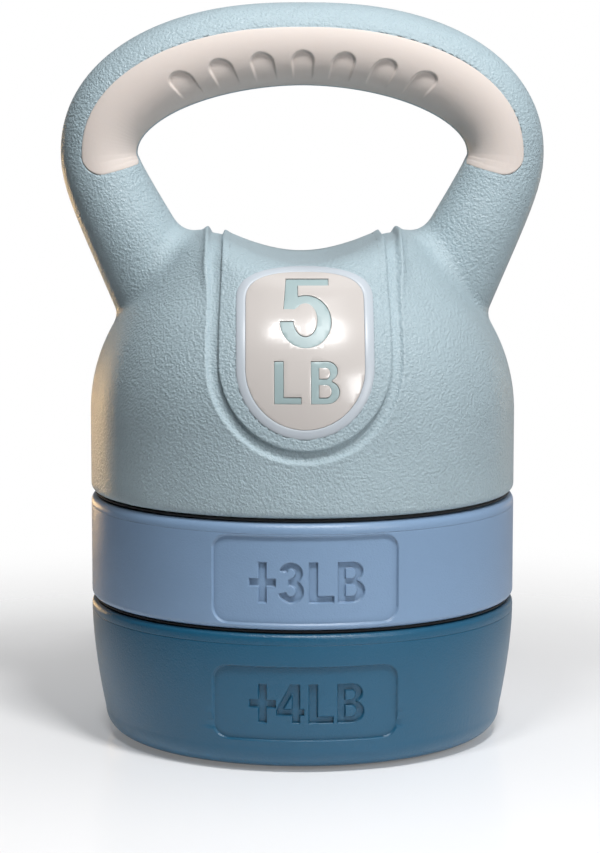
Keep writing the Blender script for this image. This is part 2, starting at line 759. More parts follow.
def band_distance(band, points):
    """Distance outwards from the tongue's edge, seen from the front."""
    x, z = np.abs(points[:, 0]), points[:, 2]
    straight = x - band_width(band, z)
    round_part = np.hypot(x, z - band.turn_z) - band.half_width
    return np.where(z > band.turn_z, straight, round_part)


def badge_outline(badge, border=0.0, top_border=0.0):
    """Badge outline: a half circle below, straight sides and a flat arch above."""
    half_width = badge.half_width - border
    lower_z = badge.bottom + badge.half_width
    rise = badge.top - top_border - badge.shoulder
    upper = []
    for angle in np.radians(np.linspace(0.0, 180.0, 73)):
        x = half_width * signed_power(math.cos(angle), 2.0 / badge.power)
        upper.append((float(x), badge.shoulder + rise * math.sin(angle) ** (2.0 / badge.power)))
    lower = arc((0.0, lower_z), (half_width, half_width), 180.0, 360.0, 48)
    return upper + lower


def badge_loop(skin, badge, side, border=0.0, top_border=0.0):
    """A badge outline laid on the skin."""
    flat = badge_outline(badge, border, top_border)
    dense = resample([(x, 0.0, z) for x, z in flat], 0.0008)[:, [0, 2]]
    return skin.face_points(dense, side)


def grip_reach(skin, grip, share):
    """Half length of a pad, by share of its width: -1 at the inner edge, 1 outside."""
    arch = skin.along[ARCH_STEPS]
    width = skin.bell.leg_depth * (grip.upper_angle - grip.lower_angle)
    end = arch + grip.leg_drop + grip.end_slant * (share - 1.0) / 2.0
    outer = np.clip((share - (1.0 - 2.0 * grip.outer_corner / width)) * width / 2.0, 0.0, None)
    inner = np.clip((-share - (1.0 - 2.0 * grip.inner_corner / width)) * width / 2.0, 0.0, None)
    end = end - grip.outer_corner + np.sqrt(np.clip(grip.outer_corner ** 2 - outer ** 2, 0.0, None))
    end = end - grip.inner_corner + np.sqrt(np.clip(grip.inner_corner ** 2 - inner ** 2, 0.0, None))
    return end


def grip_angle(grip, share):
    """Section angle at a share of a pad's width."""
    middle = (grip.upper_angle + grip.lower_angle) / 2.0
    return middle + share * (grip.upper_angle - grip.lower_angle) / 2.0


def grip_loop(skin, grip, side):
    """A pad's outline laid on the skin."""
    shares = -np.cos(np.linspace(0.0, math.pi, 60))
    right_end = grip_reach(skin, grip, shares)
    lower = np.linspace(-right_end[0], right_end[0], 300)[1:-1]
    upper = np.linspace(right_end[-1], -right_end[-1], 300)[1:-1]
    along = np.concatenate([lower, right_end, upper, -right_end[::-1]])
    share = np.concatenate([np.full(298, -1.0), shares, np.full(298, 1.0), shares[::-1]])
    points = skin.loop_points(along, grip_angle(grip, share), side)
    return resample(skin.settle(points), 0.0009)


# ---------------------------------------------------------------- finishes

def linear(hex_value):
    """Linear colour of an sRGB hex value."""
    channels = [int(hex_value[index:index + 2], 16) / 255.0 for index in (1, 3, 5)]
    return (*[value / 12.92 if value <= 0.04045 else ((value + 0.055) / 1.055) ** 2.4
              for value in channels], 1.0)


def shaded(rgba, factor):
    """A colour made lighter or darker."""
    return (*[min(value * factor, 1.0) for value in rgba[:3]], 1.0)


def add(tree, kind, wires=None, **settings):
    """Add a node with its settings; a wire is a value or the socket that feeds an input."""
    node = tree.nodes.new(kind)
    for name, value in settings.items():
        setattr(node, name, value)
    for socket, source in (wires or {}).items():
        if isinstance(source, bpy.types.NodeSocket):
            tree.links.new(source, node.inputs[socket])
        else:
            node.inputs[socket].default_value = source
    return node


def new_finish(name, roughness, **inputs):
    """Material with a Principled shader; returns it, its tree, shader and coordinates."""
    material = bpy.data.materials.new(name)
    material.use_nodes = True
    tree = material.node_tree
    tree.nodes.clear()
    values = {"Roughness": roughness}
    values.update({key.replace("_", " "): value for key, value in inputs.items()})
    shader = add(tree, "ShaderNodeBsdfPrincipled", values)
    add(tree, "ShaderNodeOutputMaterial", {"Surface": shader.outputs["BSDF"]})
    place = add(tree, "ShaderNodeTexCoord").outputs["Object"]
    return material, tree, shader, place


def colour_from(tree, shader, factor, rgba, dark, light, hollow=0.0):
    """Drive the base colour from a factor; hollows up to a given size gather dull dust."""
    mix = add(tree, "ShaderNodeMix", {0: factor, 6: shaded(rgba, dark), 7: shaded(rgba, light)},
              data_type="RGBA")
    if hollow:
        openness = add(tree, "ShaderNodeAmbientOcclusion", {"Distance": hollow}, samples=8)
        mix = add(tree, "ShaderNodeMix", {0: openness.outputs["AO"], 6: shaded(rgba, 0.30),
                                          7: mix.outputs[2]}, data_type="RGBA")
    tree.links.new(mix.outputs[2], shader.inputs["Base Color"])


def grained_plastic(name, rgba, roughness, grain, depth, sheen=0.0, contrast=0.06, hollow=0.0):
    """Moulded plastic with a leather-like grain of a given cell size and depth."""
    material, tree, shader, place = new_finish(name, roughness, Specular_IOR_Level=0.5)
    shader.inputs["Sheen Weight"].default_value = sheen
    bend = add(tree, "ShaderNodeTexNoise", {"Vector": place, "Scale": 0.35 / grain, "Detail": 2.0})
    bent = add(tree, "ShaderNodeVectorMath", {0: bend.outputs["Color"], 1: (grain,) * 3},
               operation="MULTIPLY")
    moved = add(tree, "ShaderNodeVectorMath", {0: place, 1: bent.outputs[0]}, operation="ADD")
    cells = add(tree, "ShaderNodeTexVoronoi", {"Vector": moved.outputs[0], "Scale": 1.0 / grain},
                feature="SMOOTH_F1")
    creases = add(tree, "ShaderNodeTexNoise", {"Vector": place, "Scale": 1.6 / grain,
                                               "Detail": 3.0, "Roughness": 0.6})
    height = add(tree, "ShaderNodeMath", {0: cells.outputs["Distance"], 1: -1.0,
                                          2: creases.outputs["Fac"]}, operation="MULTIPLY_ADD")
    bump = add(tree, "ShaderNodeBump", {"Strength": 1.0, "Distance": depth,
                                        "Height": height.outputs[0]})
    tree.links.new(bump.outputs["Normal"], shader.inputs["Normal"])
    cloud = add(tree, "ShaderNodeTexNoise", {"Vector": place, "Scale": 1.0 / (28.0 * MM),
                                             "Detail": 3.0})
    tint = add(tree, "ShaderNodeMath", {0: height.outputs[0], 1: 0.35,
                                        2: cloud.outputs["Fac"]}, operation="MULTIPLY_ADD")
    colour_from(tree, shader, tint.outputs[0], rgba, 1.0 - contrast, 1.0 + contrast, hollow)
    gloss = add(tree, "ShaderNodeMapRange", {"Value": cloud.outputs["Fac"],
                                             "To Min": roughness - 0.05, "To Max": roughness + 0.06})
    tree.links.new(gloss.outputs["Result"], shader.inputs["Roughness"])
    return material


def ldpe_grained_teal(finish):
    """Blow-moulded LDPE: leather grain that breaks the highlights into fine sparkle."""
    return grained_plastic("ldpe_grained_teal", linear(finish.teal), 0.30, 0.95 * MM, 0.38 * MM,
                           contrast=0.10, hollow=1.5 * MM)


def hdpe_satin_periwinkle(finish):
    """Moulded HDPE with a fine eroded texture: even satin sheen."""
    return grained_plastic("hdpe_satin_periwinkle", linear(finish.periwinkle), 0.31, 0.60 * MM,
                           0.060 * MM, contrast=0.03, hollow=2.5 * MM)


def hdpe_satin_deep_blue(finish):
    """The same HDPE in deep blue; a little duller, so its colour stays deep."""
    return grained_plastic("hdpe_satin_deep_blue", linear(finish.deep_blue), 0.33, 0.65 * MM,
                           0.080 * MM, contrast=0.05, hollow=2.5 * MM)


def tpe_soft_cream(finish):
    """Overmoulded TPE: matt and slightly waxy, so light fades softly round the grip."""
    material = grained_plastic("tpe_soft_cream", linear(finish.grip), 0.62, 0.35 * MM, 0.010 * MM,
                               sheen=0.10, contrast=0.02)
    shader = material.node_tree.nodes["Principled BSDF"]
    shader.inputs["Subsurface Weight"].default_value = 0.05
    shader.inputs["Subsurface Radius"].default_value = (0.002, 0.0015, 0.001)
    shader.inputs["Subsurface Scale"].default_value = 0.5
    return material


def abs_satin_pale_blue(finish):
    """Moulded ABS from a finely blasted tool: smooth satin."""
    return grained_plastic("abs_satin_pale_blue", linear(finish.frame), 0.36, 0.30 * MM,
                           0.004 * MM, contrast=0.015)


def abs_gloss_cream(finish):
    """Polished ABS: soft lights show as clear patches, over faint moulding waves."""
    material, tree, shader, place = new_finish("abs_gloss_cream", 0.22, Specular_IOR_Level=0.55,
                                               Coat_Weight=0.35, Coat_Roughness=0.12)
    waves = add(tree, "ShaderNodeTexNoise", {"Vector": place, "Scale": 1.0 / (9.0 * MM),
                                             "Detail": 2.0})
    bump = add(tree, "ShaderNodeBump", {"Strength": 0.35, "Distance": 0.02 * MM,
                                        "Height": waves.outputs["Fac"]})
    tree.links.new(bump.outputs["Normal"], shader.inputs["Normal"])
    specks = add(tree, "ShaderNodeTexNoise", {"Vector": place, "Scale": 1.0 / (0.6 * MM),
                                              "Detail": 2.0})
    mixed = add(tree, "ShaderNodeMath", {0: specks.outputs["Fac"], 1: 0.3,
                                         2: waves.outputs["Fac"]}, operation="MULTIPLY_ADD")
    colour_from(tree, shader, mixed.outputs[0], linear(finish.plate), 0.975, 1.015)
    return material


def abs_satin_teal(finish):
    """Inlaid ABS figures: smooth, a touch duller than the plate."""
    return grained_plastic("abs_satin_teal", linear(finish.inlay), 0.38, 0.30 * MM, 0.004 * MM,
                           contrast=0.02)


def rubber_black(finish):
    """Moulded EPDM rubber: nearly black, matt, with a dusty bloom."""
    return grained_plastic("epdm_rubber_black", linear(finish.rubber), 0.78, 0.40 * MM,
                           0.030 * MM, sheen=0.15, contrast=0.25)


def nylon_glass_filled(finish):
    """Glass-filled nylon: fine sparkle of fibres in a charcoal ground."""
    return grained_plastic("glass_filled_nylon", linear(finish.nylon), 0.50, 0.60 * MM,
                           0.035 * MM, contrast=0.20)


def steel_zinc_plated(finish):
    """Zinc plating: bright grey metal, with a faint spangle in its gloss."""
    material, tree, shader, place = new_finish("zinc_plated_steel", 0.30, Metallic=1.0)
    spangle = add(tree, "ShaderNodeTexVoronoi", {"Vector": place, "Scale": 1.0 / (1.6 * MM)})
    grime = add(tree, "ShaderNodeTexNoise", {"Vector": place, "Scale": 1.0 / (6.0 * MM),
                                             "Detail": 4.0})
    gloss = add(tree, "ShaderNodeMapRange", {"Value": spangle.outputs["Distance"],
                                             "To Min": 0.22, "To Max": 0.38})
    tree.links.new(gloss.outputs["Result"], shader.inputs["Roughness"])
    colour_from(tree, shader, grime.outputs["Fac"], linear(finish.zinc), 0.86, 1.04)
    return material


def steel_drawn_bar(finish):
    """Drawn steel: duller, with fine lines along the bar's draw."""
    material, tree, shader, place = new_finish("drawn_steel", 0.42, Metallic=1.0)
    drawn = add(tree, "ShaderNodeMapping", {"Vector": place, "Scale": (1.0, 1.0, 0.05)})
    lines = add(tree, "ShaderNodeTexNoise", {"Vector": drawn.outputs["Vector"],
                                             "Scale": 1.0 / (0.4 * MM), "Detail": 3.0})
    bump = add(tree, "ShaderNodeBump", {"Strength": 0.4, "Distance": 0.02 * MM,
                                        "Height": lines.outputs["Fac"]})
    tree.links.new(bump.outputs["Normal"], shader.inputs["Normal"])
    colour_from(tree, shader, lines.outputs["Fac"], linear(finish.steel), 0.85, 1.05)
    return material


def cement_ore_fill(finish):
    """Cast cement with ore: rough and pitted, dark grains in a grey ground."""
    material, tree, shader, place = new_finish("cement_ore_fill", 0.92)
    grains = add(tree, "ShaderNodeTexVoronoi", {"Vector": place, "Scale": 1.0 / (2.4 * MM)})
    sand = add(tree, "ShaderNodeTexNoise", {"Vector": place, "Scale": 1.0 / (0.8 * MM),
                                            "Detail": 5.0})
    height = add(tree, "ShaderNodeMath", {0: grains.outputs["Distance"],
                                          1: sand.outputs["Fac"]}, operation="ADD")
    bump = add(tree, "ShaderNodeBump", {"Strength": 0.8, "Distance": 0.3 * MM,
                                        "Height": height.outputs[0]})
    tree.links.new(bump.outputs["Normal"], shader.inputs["Normal"])
    colour_from(tree, shader, height.outputs[0], linear(finish.cement), 0.55, 1.10)
    return material


# ---------------------------------------------------------------- bell

def rough_bell(skin):
    """Coarse union of dome and loop that the skin's mesh starts from."""
    bell = skin.bell
    centre = BODY_RADIUS - bell.dome_radius
    dome = [(centre + bell.dome_radius * math.cos(angle),
             bell.shoulder_z + bell.dome_radius * math.sin(angle))
            for angle in np.linspace(0.0, bell.dome_turn, 9)]
    edge_radius, edge_z = dome[-1]
    cone = (edge_radius - (bell.saddle_z - edge_z) * math.tan(bell.dome_turn), bell.saddle_z)
    profile = np.array([(BODY_RADIUS, BELL_BOTTOM), *dome, cone])
    angles = even_turn(120)
    rings = np.stack([profile[:, :1] * np.sin(angles), -profile[:, :1] * np.cos(angles),
                      np.repeat(profile[:, 1:], 120, axis=1)], axis=2)
    body = grid_piece("bell_rough", rings, wrap_columns=True, caps=True)
    end = skin.along[-1] - 0.001
    along = np.linspace(-end, end, 121)
    turn = even_turn(40)
    tube = np.stack([skin.loop_points(np.full(40, place), turn) for place in along])
    loop = grid_piece("loop_rough", tube, wrap_columns=True, caps=True)
    form = bmesh.new()
    form.from_mesh(body.data)
    form.from_mesh(loop.data)
    form.to_mesh(body.data)
    form.free()
    bpy.data.objects.remove(loop, do_unlink=True)
    remesh = body.modifiers.new("even", "REMESH")
    remesh.mode = "VOXEL"
    remesh.voxel_size = bell.voxel
    bpy.context.view_layer.update()
    return baked(body)


def recess_under_pieces(skin, points, band, badge, grip):
    """How far the skin sinks under the channel, the badges and the grip pads."""
    sink = np.zeros(len(points))
    across = band_distance(band, points)
    off_legs = points[:, 2] < skin.bell.arch_z - 0.02
    wide = 1.0 + (band.top_widening - 1.0) * saddle_share(skin, points)
    channel = smooth_step(across, -0.0016, -0.0003)
    channel *= 1.0 - smooth_step(across / wide, 0.0046, 0.0060)
    sink = np.maximum(sink, 0.0030 * channel * off_legs)
    outline = [badge_outline(badge)]
    near = (np.abs(points[:, 0]) < badge.half_width) & (np.abs(points[:, 1]) > 0.02)
    near &= (points[:, 2] > badge.bottom) & (points[:, 2] < badge.top)
    depth = -outline_distance(points[near][:, [0, 2]], outline)
    sink[near] = np.maximum(sink[near], 0.0030 * smooth_step(depth, 0.0004, 0.0018))
    along, offset, _ = skin.loop_places(points)
    high_up = points[:, 2] > skin.bell.arch_z - 0.02
    angle = np.arctan2(offset, np.abs(points[:, 1]))
    width = (grip.upper_angle - grip.lower_angle) / 2.0
    share = (angle - (grip.upper_angle + grip.lower_angle) / 2.0) / width
    side_gap = (1.0 - np.abs(share)) * width * skin.bell.leg_depth
    end_gap = grip_reach(skin, grip, np.clip(share, -1.0, 1.0)) - along
    inside = np.minimum(side_gap, end_gap)
    pad = 0.0026 * smooth_step(inside, 0.0004, 0.0018) * high_up
    return np.maximum(sink, pad)


def bell_shell(skin, band, badge, grip):
    """The moulded shell, its rounded rim and the inside of its foot."""
    piece = rough_bell(skin)
    piece.name = "bell_shell_skin"
    mesh = piece.data
    cut_z = BELL_BOTTOM + 0.0125
    form = bmesh.new()
    form.from_mesh(mesh)
    bmesh.ops.bisect_plane(form, geom=form.verts[:] + form.edges[:] + form.faces[:], dist=1e-6,
                           plane_co=(0.0, 0.0, cut_z), plane_no=(0.0, 0.0, -1.0), clear_outer=True)
    bmesh.ops.remove_doubles(form, verts=form.verts, dist=0.0001)
    form.verts.ensure_lookup_table()
    points = np.array([vertex.co for vertex in form.verts])
    rim = np.array([any(edge.is_boundary for edge in vertex.link_edges) for vertex in form.verts])
    points[~rim] = skin.settle(points[~rim], 4)
    flat = np.hypot(points[:, 0], points[:, 1])
    points[rim, :2] *= (BODY_RADIUS / flat[rim])[:, None]
    points[rim, 2] = cut_z
    normals = skin.normal(points)
    points -= normals * recess_under_pieces(skin, points, band, badge, grip)[:, None]
    kept_normal = form.verts.layers.float_vector.new("skin_normal")
    for vertex, place, normal in zip(form.verts, points, normals):
        vertex.co = place
        vertex[kept_normal] = normal
    round_over = skin.bell.rim_round
    profile = [(BODY_RADIUS, BELL_BOTTOM + round_over + 0.004)]
    profile += [(BODY_RADIUS - round_over + round_over * math.cos(angle),
                 BELL_BOTTOM + round_over + round_over * math.sin(angle))
                for angle in np.radians(np.linspace(0.0, -90.0, 7))]
    inner = PLATE_RADIUS + 3.0 * GAP
    profile += [(inner + 0.0004, BELL_BOTTOM), (inner, BELL_BOTTOM + 0.0004),
                (inner, skin.bell.shoulder_z)]
    edges = [edge for edge in form.edges if edge.is_boundary]
    for radius, z in profile:
        made = bmesh.ops.extrude_edge_only(form, edges=edges)["geom"]
        edges = [item for item in made if isinstance(item, bmesh.types.BMEdge)]
        for vertex in {vertex for edge in edges for vertex in edge.verts}:
            scale = radius / math.hypot(vertex.co.x, vertex.co.y)
            vertex.co = (vertex.co.x * scale, vertex.co.y * scale, z)
            vertex[kept_normal] = (0.0, 0.0, 0.0)
    bmesh.ops.contextual_create(form, geom=edges)
    bmesh.ops.recalc_face_normals(form, faces=form.faces)
    form.to_mesh(mesh)
    form.free()
    mesh.shade_smooth()
    kept = mesh.attributes["skin_normal"]
    normals = [tuple(item.vector) for item in kept.data]
    mesh.attributes.remove(kept)
    mesh.normals_split_custom_set_from_vertices(normals)
    return piece


def saddle_share(skin, loop):
    """0 on the front and the rear of the bell, 1 on its saddle."""
    return smooth_step(loop[:, 2], skin.bell.saddle_z - 0.012, skin.bell.saddle_z + 0.004)


def band_channel(skin, band):
    """Strip that holds the channel's steep inner wall and its sloping outer side."""
    loop = band_loop(skin, band)
    raised = saddle_share(skin, loop)
    wide = 1.0 + (band.top_widening - 1.0) * raised
    deep = band.depth
    lip = band.lip * raised
    flush = 0.00003
    profile = [(0.0, -0.0026, -0.0024), (0.0, -0.0026, flush), (0.0, -0.0009, flush + 0.3 * lip),
               (0.0, -0.00035, flush + 0.35 * lip), (0.0, -0.0001, -0.00010 + 0.3 * lip),
               (0.0, 0.00003, -0.0004 + 0.2 * lip), (0.0, 0.00012, -0.75 * deep),
               (0.0, 0.0003, -0.95 * deep), (0.0, 0.0007, -deep), (0.0, 0.0014, -deep),
               (0.0, 0.0022 * wide, -0.97 * deep), (0.0, 0.0030 * wide, -0.91 * deep),
               (0.0, 0.0036 * wide, -0.83 * deep), (0.0, 0.0040 * wide, -0.66 * deep + 0.1 * lip),
               (0.0, 0.0043 * wide, -0.36 * deep + 0.5 * lip),
               (0.0, 0.0046 * wide, -0.08 * deep + 0.85 * lip),
               (0.0, 0.0049 * wide, 0.00006 + lip), (0.0, 0.0052 * wide, 0.00012 + lip),
               (0.0, 0.0056 * wide, 0.00008 + 0.85 * lip), (0.0, 0.0061 * wide, flush + 0.5 * lip),
               (0.0, 0.0068 * wide, flush + 0.2 * lip), (0.0, 0.0086 * wide, flush),
               (0.0, 0.0086 * wide, -0.0024)]
    return strip("bell_band_channel", skin, loop, loop, profile)


# ---------------------------------------------------------------- badges

def badge_seat(name, skin, badge, side):
    """Lip of the shell round a badge: a fine double line, then the wall of its seat."""
    loop = badge_loop(skin, badge, side)
    profile = [(0.0, 0.00016, -0.0022), (0.0, 0.00016, -0.00055), (0.0, 0.00022, -0.00018),
               (0.0, 0.00036, -0.00001), (0.0, 0.00060, 0.00003), (0.0, 0.00078, -0.00045),
               (0.0, 0.00096, 0.00003), (0.0, 0.0014, 0.00004), (0.0, 0.0021, 0.00003),
               (0.0, 0.0021, -0.0022)]
    return strip(name, skin, loop, loop, profile)


def badge_frame(name, skin, badge, side):
    """Crowned frame between the shell and the plate."""
    outer = badge_loop(skin, badge, side)
    flat = badge_outline(badge, badge.border, badge.top_border)
    inner = resample([(x, 0.0, z) for x, z in flat], 0.0001)
    shift = np.linspace(0.0, 1.0, len(outer), endpoint=False)
    whole = np.linspace(0.0, 1.0, len(inner), endpoint=False)
    own = np.stack([np.interp(shift, whole, inner[:, axis]) for axis in (0, 2)], axis=1)
    inner = skin.face_points(own, side)
    profile = [(0.0, 0.00008, -0.0018), (0.0, 0.00008, -0.00030), (0.0, 0.00016, -0.00006),
               (0.0, 0.00034, 0.00006), (0.3, 0.0, 0.00014), (0.5, 0.0, 0.00018),
               (0.7, 0.0, 0.00016), (1.0, -0.0005, 0.00006), (1.0, -0.00022, -0.00004),
               (1.0, -0.00008, -0.00024), (1.0, -0.00004, -0.0018)]
    return strip(name, skin, inner, outer, profile)


def badge_figures():
    """Outlines of the badge's figures, by the CAD node that each one stands for."""
    return {
        "numeral_five_inlay": placed(figure_five(), 0.0, 0.1497, 0.0225),
        "letter_l_inlay": placed(figure_l(), -0.0061, 0.1309, 0.0144, 1.05),
        "letter_b_inlay": placed(figure_b(), 0.0068, 0.1309, 0.0144, 1.03),
    }


def badge_plate(name, skin, badge, side, figures):
    """Glossy plate with a window for each figure."""
    outline = badge_outline(badge, badge.border, badge.top_border)
    outlines = [outline] + [loop for figure in figures.values() for loop in figure]
    return flat_pattern(name, skin, outlines, side, 0.00005, 0.0017, 0.00012)


# ---------------------------------------------------------------- grips

# Rounded border of a pad, as steps of distance from its edge and height, in mm.
EDGE_STEPS = ((0.0, -2.0), (0.0, -0.42), (0.07, -0.16), (0.22, 0.00), (0.45, 0.08), (0.8, 0.11))
PAD_SINK = 2.0 * MM


def finger_marks(skin, grip, along, rise):
    """Depth of the finger marks: scoops with a crisp round top that fade downwards."""
    depth = np.zeros_like(along)
    top = -0.0024
    centre = top - grip.mark_radius
    for index in range(grip.mark_count):
        place = (index - (grip.mark_count - 1) / 2.0) * grip.mark_pitch
        side = np.abs(along - place)
        distance = np.where(rise > centre, np.hypot(side, rise - centre), side) - grip.mark_radius
        fade = np.clip(1.0 - (centre + 0.0015 - rise) / 0.0105, 0.0, 1.0)
        wall = smooth_step(-distance, 0.0, 0.0009)
        depth = np.maximum(depth, grip.mark_depth * fade * wall)
    return depth


def grip_pad(name, skin, grip, side, marked):
    """Soft pad with rounded ends, lying flush in its seat."""
    width = skin.bell.leg_depth * (grip.upper_angle - grip.lower_angle)
    shares, column_height = [], []
    for edge, height in EDGE_STEPS:
        shares.append(-1.0 + 2.0 * edge * MM / width)
        column_height.append(height * MM)
    inner_shares = np.linspace(shares[-1], -shares[-1], 66)[1:-1]
    column_height += [column_height[-1]] * len(inner_shares) + column_height[::-1]
    shares = np.array(shares + inner_shares.tolist() + [-share for share in reversed(shares)])
    column_height = np.array(column_height)
    reach = grip_reach(skin, grip, shares)
    rows, row_height = [], []
    for edge, height in EDGE_STEPS:
        rows.append(-(reach - edge * MM))
        row_height.append(height * MM)
    last = rows[-1]
    for share in np.linspace(-1.0, 1.0, 560)[1:-1]:
        rows.append(-last * share)
        row_height.append(row_height[len(EDGE_STEPS) - 1])
    for edge, height in reversed(EDGE_STEPS):
        rows.append(reach - edge * MM)
        row_height.append(height * MM)
    along = np.stack(rows)
    angle = np.tile(grip_angle(grip, shares), (len(along), 1))
    lift = np.minimum(np.array(row_height)[:, None], column_height[None, :])
    if marked:
        lift = lift - finger_marks(skin, grip, along, angle * skin.bell.leg_depth)
    flat = skin.settle(skin.loop_points(along.ravel(), angle.ravel(), side), 2)
    normal = skin.normal(flat)
    top = (flat + normal * lift.reshape(-1, 1)).reshape(*along.shape, 3)
    under = (flat - normal * PAD_SINK).reshape(*along.shape, 3)
    return pad_solid(name, top, under)


def pad_solid(name, top, under):
    """Closed solid between two grids of the same size that share their border."""
    rows, columns = top.shape[:2]
    count = rows * columns
    faces = grid_faces(rows, columns, False, False)
    faces += [[corner + count for corner in reversed(face)] for face in faces]
    return smooth_faces(new_piece(name, np.vstack([top.reshape(-1, 3), under.reshape(-1, 3)]),
                                  faces), 60.0)


def grip_seat(name, skin, grip, side):
    """Lip of the shell round a pad."""
    loop = grip_loop(skin, grip, side)
    profile = [(0.0, 0.00012, -0.0020), (0.0, 0.00012, -0.00045), (0.0, 0.00020, -0.00014),
               (0.0, 0.00036, 0.0), (0.0, 0.0007, 0.00004), (0.0, 0.0015, 0.00004),
               (0.0, 0.0022, 0.00004), (0.0, 0.0022, -0.0020)]
    return strip(name, skin, loop, loop, profile)


# ---------------------------------------------------------------- weights

def label_columns(half_width):
    """Angles of a turned wall: close together across the label, wider elsewhere."""
    edge = math.asin((half_width + 0.0012) / BODY_RADIUS)
    fine = np.linspace(-edge, edge, 290)
    rest = np.linspace(edge, TAU - edge, 122)[1:-1]
    return np.concatenate([fine, rest])


def label_dent(weight, bottom, top, figures):
    """Depth of a label panel and of the figures in it, over a turned wall."""
    corner = weight.label_corner
    half = weight.label_half_width - corner
    right = (arc((half, bottom + corner), (corner, corner), -90.0, 0.0, 10)
             + arc((half, top - corner), (corner, corner), 0.0, 90.0, 10))
    panel = [right + mirrored(right)]

    def dent(turn, radius, height):
        places = np.stack([(radius * np.sin(turn)).ravel(), height.ravel()], axis=1)
        facing = (np.cos(turn) > 0.5).ravel() & (radius > BODY_RADIUS - 0.0075).ravel()
        depth = np.zeros(len(places))
        inside = -outline_distance(places[facing], panel)
        marks = -outline_distance(places[facing], figures)
        depth[facing] = (weight.label_depth * smooth_step(inside, -0.00010, 0.00036)
                         + weight.mark_depth * smooth_step(marks, -0.00014, 0.00016))
        return depth.reshape(turn.shape)

    return dent


def label_figures(numeral, bottom, height):
    """Outlines of a plus sign, a numeral and the letters L and B, centred."""
    outlines = []
    for figure, centre in ((figure_plus(), -0.0152), (numeral, -0.0051), (figure_l(), 0.0056),
                           (figure_b(), 0.0161)):
        outlines += placed(figure, centre, bottom, height)
    return outlines


# Turned parts of the weights, in metres: the screw's bore and its mouth, the hub over the
# middle weight's bore, the base's knob pocket, floor and ring groove, and the rubber rings.
BORE, BORE_MOUTH = 0.0068, 0.0072
FOOT_FLAT, HUB_RADIUS, HUB_HEIGHT = 0.0500, 0.036, 0.008
POCKET_RADIUS, POCKET_ROOF, BASE_FLOOR = 0.034, 0.0171, 0.0066
RING_INNER, RING_OUTER, RING_TOP, GROOVE_TOP = 0.0440, 0.0640, 0.0030, 0.0033
GASKET_INNER, GASKET_OUTER, GASKET_HALF = 0.0600, 0.0768, 0.00035
WALL_STEP = 0.00026

# Gap and edge rounding of the fine seam between a lid and its shell.
SEAM_GAP = 0.00003
SEAM_ROUND = 0.00012


def lid_solid(name, weight, top, rim):
    """Lid with a rounded rim, a fine seam edge, a skirt and a hexagonal boss."""
    under = top - weight.lid_rim
    edge = under - GAP + SEAM_GAP
    skirt = BODY_RADIUS - weight.wall - GAP
    hole = high("base_sleeve").x
    profile = [(hole, top - 0.0006), (hole + 0.0006, top)]
    profile += arc((BODY_RADIUS - rim, top - rim), (rim, rim), 90.0, 0.0, 8)
    profile += arc((BODY_RADIUS - SEAM_ROUND, edge + SEAM_ROUND), (SEAM_ROUND,) * 2, 0.0, -90.0, 3)
    profile += [(skirt, edge), (skirt, under - 0.003), (skirt - 0.004, under - 0.003),
                (skirt - 0.004, under), (hole, under)]
    piece = turned(name, profile, even_turn(192))
    boss = hexagon("boss", weight.hexagon, top - 0.001, top + weight.hexagon_height, 0.0006)
    carved(piece, boss, "UNION")
    bore = turned_plug("bore", hole, under - 0.01, top + 0.01)
    carved(piece, bore)
    return smooth_faces(piece)


def turned_plug(name, radius, bottom, top):
    """Solid round plug."""
    angles = even_turn(96)
    profile = np.array([(radius, bottom), (radius, top)])
    grid = np.stack([profile[:, :1] * np.sin(angles), -profile[:, :1] * np.cos(angles),
                     np.repeat(profile[:, 1:], 96, axis=1)], axis=2)
    return grid_piece(name, grid, wrap_columns=True, caps=True)


def fine_levels(bottom, top):
    """Heights from the top down to the bottom, close enough together for the figures."""
    return np.linspace(top, bottom, int((top - bottom) / WALL_STEP) + 1).tolist()


def middle_shell(weight):
    """Middle weight's shell: label wall, rounded foot, floor and inside."""
    wall_top = MIDDLE_TOP - weight.lid_rim - GAP
    rim = weight.rim_round
    label = (weight.middle_label_low, weight.middle_label_high)
    inner = BODY_RADIUS - weight.wall
    hub_top, floor_z = MIDDLE_BOTTOM + HUB_HEIGHT, MIDDLE_BOTTOM + weight.wall
    profile = arc((BODY_RADIUS - SEAM_ROUND, wall_top - SEAM_ROUND), (SEAM_ROUND,) * 2, 90.0, 0.0, 3)
    levels = fine_levels(MIDDLE_BOTTOM + rim + 0.0003, wall_top - 0.0006)
    profile += [(BODY_RADIUS, z) for z in levels]
    profile += arc((BODY_RADIUS - rim, MIDDLE_BOTTOM + rim), (rim, rim), 0.0, -90.0, 8)
    profile += [(FOOT_FLAT, MIDDLE_BOTTOM), (BORE_MOUTH, MIDDLE_BOTTOM),
                (BORE, MIDDLE_BOTTOM + 0.0004), (BORE, hub_top), (HUB_RADIUS, hub_top),
                (HUB_RADIUS, floor_z), (inner, floor_z), (inner, wall_top)]
    figures = label_figures(figure_three(), weight.middle_figures, weight.figure_height)
    piece = turned("middle_shell_skin", profile, label_columns(weight.label_half_width),
                   label_dent(weight, *label, figures))
    pocket = hexagon("pocket", weight.hexagon + 0.0006, MIDDLE_BOTTOM - 0.002,
                     MIDDLE_BOTTOM + weight.hexagon_height + 0.0006)
    return smooth_faces(carved(piece, pocket), 60.0)


def base_radius(weight, z):
    """Radius of the base weight's wall, which draws in towards the floor."""
    reach = max(1.0 - z / (BASE_TOP - weight.lid_rim), 0.0)
    return BODY_RADIUS - weight.base_taper * reach ** weight.taper_power


